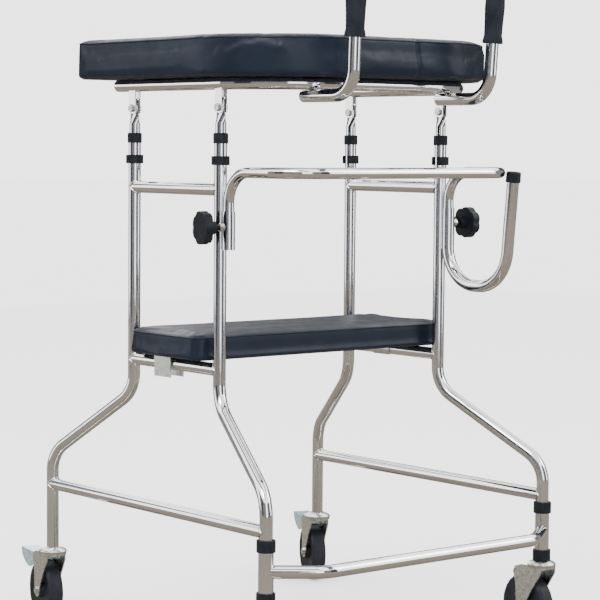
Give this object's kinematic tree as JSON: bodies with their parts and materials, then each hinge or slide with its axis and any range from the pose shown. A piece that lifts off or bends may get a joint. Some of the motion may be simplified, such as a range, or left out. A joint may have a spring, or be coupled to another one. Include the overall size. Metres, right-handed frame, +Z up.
{
  "type": "forearm-support rollator walker",
  "caption": "Forearm-support rollator: chromed tube frame on swivel casters, horseshoe armrest on height-adjustable posts, flip-up seat, front hoop, side hook and upright grips.",
  "frame": {"origin": "on the floor, under the centre of the bounding box", "axes": "+Z up; the walker faces -Y; the user's left is +X"},
  "size_m": [0.7586, 0.8342, 1.1824],
  "materials": {
    "chrome": "polished chrome plate",
    "zinc": "bright zinc plate",
    "blue_zinc": "blue-passivated zinc plate",
    "steel": "plain steel",
    "vinyl": "navy-black upholstery vinyl",
    "black_plastic": "moulded, satin",
    "grip_rubber": "moulded, matte",
    "wheel_rubber": "satin",
    "board": "dark board"
  },
  "bodies": {
    "frame": {"carry_hook": "chrome", "caster_head_front_left": "zinc", "caster_head_front_right": "zinc", "caster_head_rear_left": "zinc", "caster_head_rear_right": "zinc", "front_crossbar": "chrome", "height_clip_front_left": "black_plastic", "height_clip_front_right": "black_plastic", "height_clip_rear_left": "black_plastic", "height_clip_rear_right": "black_plastic", "hook_cap": "black_plastic", "hoop_socket": "chrome", "leg_front_left": "chrome", "leg_front_right": "chrome", "leg_rear_left": "chrome", "leg_rear_right": "chrome", "lower_rail_left": "chrome", "lower_rail_right": "chrome", "post_bushing_front_left": "black_plastic", "post_bushing_front_right": "black_plastic", "post_bushing_rear_left": "black_plastic", "post_bushing_rear_right": "black_plastic", "seat_rail_left": "chrome", "seat_rail_right": "chrome", "sleeve_collar_lower_left": "black_plastic", "sleeve_collar_lower_right": "black_plastic", "sleeve_collar_upper_left": "black_plastic", "sleeve_collar_upper_right": "black_plastic", "upper_rail_left": "chrome", "upper_rail_right": "chrome"},
    "armrest": {"armrest_board": "board", "armrest_frame": "chrome", "armrest_pad": "vinyl", "grip_left": "grip_rubber", "grip_right": "grip_rubber", "inner_post_front_left": "chrome", "inner_post_front_right": "chrome", "inner_post_rear_left": "chrome", "inner_post_rear_right": "chrome", "pivot_bolt_front_left": "steel", "pivot_bolt_front_right": "steel", "pivot_bolt_rear_left": "steel", "pivot_bolt_rear_right": "steel"},
    "seat": {"seat_board": "board", "seat_pad": "vinyl", "seat_saddle_left": "zinc", "seat_saddle_right": "zinc"},
    "hoop": {"front_hoop": "chrome"},
    "knob_right": {"hoop_knob_right": "black_plastic"},
    "knob_left": {"hoop_knob_left": "black_plastic"},
    "swivel_rear_right": {"caster_fork_rear_right": "zinc"},
    "wheel_rear_right": {"caster_wheel_rear_right": "wheel_rubber"},
    "swivel_front_right": {"caster_fork_front_right": "zinc"},
    "wheel_front_right": {"caster_wheel_front_right": "wheel_rubber"},
    "swivel_rear_left": {"caster_fork_rear_left": "zinc"},
    "wheel_rear_left": {"caster_wheel_rear_left": "wheel_rubber"},
    "swivel_front_left": {"caster_fork_front_left": "zinc"},
    "wheel_front_left": {"caster_wheel_front_left": "wheel_rubber"},
    "pedal_right": {"brake_pedal_right": "blue_zinc"},
    "pedal_left": {"brake_pedal_left": "blue_zinc"}
  },
  "joints": [
    {"name": "armrest_height", "type": "slide", "parent": "frame", "child": "armrest", "axis": [0, 0, 1], "range_m": [0, 0.2]},
    {"name": "seat_flip", "type": "hinge", "parent": "frame", "child": "seat", "pos_m": [0.2544, 0.0142, 0.504], "axis": [0, 1, 0], "range_deg": [0, 75]},
    {"name": "hoop_height", "type": "slide", "parent": "frame", "child": "hoop", "axis": [0, 0, 1], "range_m": [-0.01, 0.025]},
    {"name": "hoop_knob_right_turn", "type": "hinge", "parent": "frame", "child": "knob_right", "pos_m": [-0.30047, -0.14701, 0.749], "axis": [-0.9781, 0.2079, 0], "continuous": true},
    {"name": "hoop_knob_left_turn", "type": "hinge", "parent": "frame", "child": "knob_left", "pos_m": [0.3015, -0.1568, 0.749], "axis": [1, 0, 0], "continuous": true},
    {"name": "caster_rear_right_swivel", "type": "hinge", "parent": "frame", "child": "swivel_rear_right", "pos_m": [-0.3189, 0.2908, 0.131], "axis": [0, 0, 1], "continuous": true},
    {"name": "caster_rear_right_roll", "type": "hinge", "parent": "swivel_rear_right", "child": "wheel_rear_right", "pos_m": [-0.31183, 0.32406, 0.056], "axis": [0.9781, -0.2079, 0], "continuous": true},
    {"name": "brake_right_press", "type": "hinge", "parent": "swivel_rear_right", "child": "pedal_right", "pos_m": [-0.30975, 0.33384, 0.12], "axis": [-0.9781, 0.2079, 0], "range_deg": [0, 12]},
    {"name": "caster_front_right_swivel", "type": "hinge", "parent": "frame", "child": "swivel_front_right", "pos_m": [-0.3189, -0.3463, 0.131], "axis": [0, 0, 1], "continuous": true},
    {"name": "caster_front_right_roll", "type": "hinge", "parent": "swivel_front_right", "child": "wheel_front_right", "pos_m": [-0.3359, -0.31685, 0.056], "axis": [0.866, 0.5, 0], "continuous": true},
    {"name": "caster_rear_left_swivel", "type": "hinge", "parent": "frame", "child": "swivel_rear_left", "pos_m": [0.3189, 0.2908, 0.131], "axis": [0, 0, 1], "continuous": true},
    {"name": "caster_rear_left_roll", "type": "hinge", "parent": "swivel_rear_left", "child": "wheel_rear_left", "pos_m": [0.33273, 0.32186, 0.056], "axis": [0.9135, -0.4067, 0], "continuous": true},
    {"name": "brake_left_press", "type": "hinge", "parent": "swivel_rear_left", "child": "pedal_left", "pos_m": [0.3368, 0.331, 0.12], "axis": [-0.9135, 0.4067, 0], "range_deg": [0, 12]},
    {"name": "caster_front_left_swivel", "type": "hinge", "parent": "frame", "child": "swivel_front_left", "pos_m": [0.3189, -0.3463, 0.131], "axis": [0, 0, 1], "continuous": true},
    {"name": "caster_front_left_roll", "type": "hinge", "parent": "swivel_front_left", "child": "wheel_front_left", "pos_m": [0.32068, -0.31235, 0.056], "axis": [0.9986, -0.0523, 0], "continuous": true}
  ]
}
